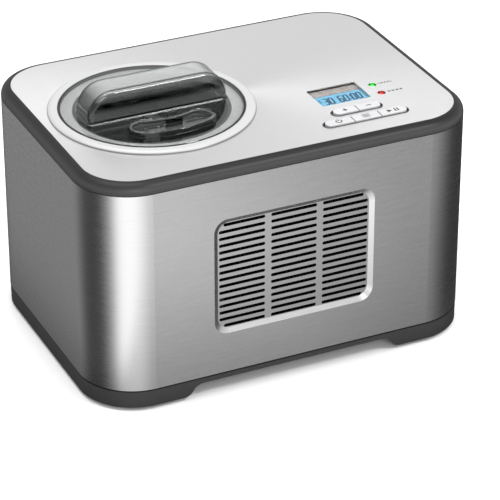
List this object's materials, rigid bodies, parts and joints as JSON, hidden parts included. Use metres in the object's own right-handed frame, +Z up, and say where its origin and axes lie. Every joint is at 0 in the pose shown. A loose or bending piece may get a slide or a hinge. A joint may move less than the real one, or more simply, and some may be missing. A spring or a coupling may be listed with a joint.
{
  "type": "ice cream maker",
  "caption": "Free-standing compressor ice cream maker: steel-wrapped cabinet with pressed grille, removable bowl under a clear handled lid, and a button panel with a display.",
  "frame": {"origin": "on the table, under the middle of the cabinet", "axes": "+X to the right of someone facing the grille, +Y to the back, +Z up"},
  "size_m": [0.42, 0.303, 0.287],
  "materials": {
    "brushed_steel": "brushed along the cabinet, satin",
    "deck_plate": "pale, finely brushed",
    "charcoal_plastic": "satin",
    "white_plastic": "gloss",
    "silver_plastic": "satin silver",
    "dark_plastic": "matte",
    "clear_plastic": "clear, faint green-grey",
    "paddle_plastic": "satin white",
    "black_rubber": "matte",
    "silicone": "matte, translucent white",
    "aluminium": "spun satin",
    "copper": "drawn tube",
    "sintered_bronze": "oil-filled bush",
    "galvanised_sheet": "zinc coated",
    "zinc_screw": "zinc plated",
    "shaft_steel": "ground",
    "black_paint": "satin black enamel",
    "pump_iron": "as cast",
    "foam": "foamed polyurethane",
    "circuit_green": "solder mask",
    "lcd_blue": "backlit panel",
    "lens_green": "lit lens",
    "lens_red": "lit lens",
    "gear_acetal": "natural acetal"
  },
  "bodies": {
    "root": {"base_pan": "charcoal_plastic", "rubber_feet": "black_rubber", "chassis_plate": "galvanised_sheet", "chassis_screws": "zinc_screw", "steel_wrap": "brushed_steel", "top_trim": "charcoal_plastic", "top_plate": "deck_plate", "wrap_screws": "zinc_screw", "cord_gland": "black_rubber", "bowl_collar": "white_plastic", "evaporator_well": "aluminium", "evaporator_coil": "copper", "insulation_foam": "foam", "temperature_sensor": "shaft_steel", "shaft_bush": "sintered_bronze", "shaft_seal": "black_rubber", "gearbox_housing": "dark_plastic", "gearbox_cover": "dark_plastic", "gearbox_screws": "zinc_screw", "gearbox_posts": "galvanised_sheet", "mixing_motor": "galvanised_sheet", "compressor": "black_paint", "compressor_pump": "pump_iron", "compressor_grommets": "black_rubber", "relay_cover": "dark_plastic", "condenser": "aluminium", "fan_shroud": "dark_plastic", "fan_bracket": "galvanised_sheet", "fan_motor": "dark_plastic", "discharge_line": "copper", "liquid_line": "copper", "capillary_tube": "copper", "suction_line": "copper", "filter_drier": "copper", "power_board": "circuit_green", "board_bracket": "galvanised_sheet", "control_pcb": "circuit_green", "pcb_pillars": "galvanised_sheet", "tactile_switches": "dark_plastic", "bezel_pair": "dark_plastic", "bezel_row": "dark_plastic", "lcd_module": "lcd_blue", "lcd_window": "clear_plastic", "lamp_green": "lens_green", "lamp_red": "lens_red"},
    "fan": {"fan_rotor": "dark_plastic"},
    "drive": {"drive_shaft": "shaft_steel", "drive_gear": "gear_acetal"},
    "pinion": {"motor_pinion": "shaft_steel"},
    "bowl": {"bowl": "aluminium"},
    "bail": {"bowl_bail": "shaft_steel"},
    "paddle": {"paddle": "paddle_plastic"},
    "seal": {"lid_seal": "black_rubber"},
    "lid": {"lid": "clear_plastic"},
    "cap": {"filler_cap": "clear_plastic"},
    "plus": {"button_plus": "silver_plastic"},
    "minus": {"button_minus": "silver_plastic"},
    "power": {"button_power": "silver_plastic"},
    "menu": {"button_menu": "silver_plastic"},
    "start": {"button_start": "silver_plastic"}
  },
  "joints": [
    {"name": "bowl_lift", "type": "slide", "parent": "root", "child": "bowl", "axis": [0, 0, 1], "range_m": [0, 0.16]},
    {"name": "shaft_spin", "type": "hinge", "parent": "root", "child": "drive", "pos_m": [-0.087, 0, 0.12], "axis": [0, 0, 1], "continuous": true},
    {"name": "pinion_spin", "type": "hinge", "parent": "root", "child": "pinion", "pos_m": [-0.0327, 0, 0.083], "axis": [0, 0, 1], "continuous": true},
    {"name": "paddle_spin", "type": "hinge", "parent": "bowl", "child": "paddle", "pos_m": [-0.087, 0, 0.15], "axis": [0, 0, 1], "continuous": true},
    {"name": "fan_spin", "type": "hinge", "parent": "root", "child": "fan", "pos_m": [0.085, -0.088, 0.118], "axis": [0, 1, 0], "continuous": true},
    {"name": "lid_lift", "type": "slide", "parent": "bowl", "child": "seal", "axis": [0, 0, 1], "range_m": [0, 0.15]},
    {"name": "lid_turn", "type": "hinge", "parent": "seal", "child": "lid", "pos_m": [-0.087, 0, 0.254], "axis": [0, 0, 1], "range_deg": [0, 30]},
    {"name": "cap_lift", "type": "slide", "parent": "lid", "child": "cap", "axis": [0, 0, 1], "range_m": [0, 0.03]},
    {"name": "bail_swing", "type": "hinge", "parent": "bowl", "child": "bail", "pos_m": [-0.087, 0, 0.2505], "axis": [1, 0, 0], "range_deg": [0, 90]},
    {"name": "press_plus", "type": "slide", "parent": "root", "child": "plus", "axis": [0, 0, -1], "range_m": [0, 0.001], "stiffness_N_per_m": 400},
    {"name": "press_minus", "type": "slide", "parent": "root", "child": "minus", "axis": [0, 0, -1], "range_m": [0, 0.001], "stiffness_N_per_m": 400},
    {"name": "press_power", "type": "slide", "parent": "root", "child": "power", "axis": [0, 0, -1], "range_m": [0, 0.001], "stiffness_N_per_m": 400},
    {"name": "press_menu", "type": "slide", "parent": "root", "child": "menu", "axis": [0, 0, -1], "range_m": [0, 0.001], "stiffness_N_per_m": 400},
    {"name": "press_start", "type": "slide", "parent": "root", "child": "start", "axis": [0, 0, -1], "range_m": [0, 0.001], "stiffness_N_per_m": 400}
  ],
  "couplings": [
    {"joint": "pinion_spin", "follows": "shaft_spin", "ratio": -5},
    {"joint": "paddle_spin", "follows": "shaft_spin", "ratio": 1},
    {"joint": "bail_swing", "follows": "lid_lift", "rad_per_m": 10.4}
  ]
}
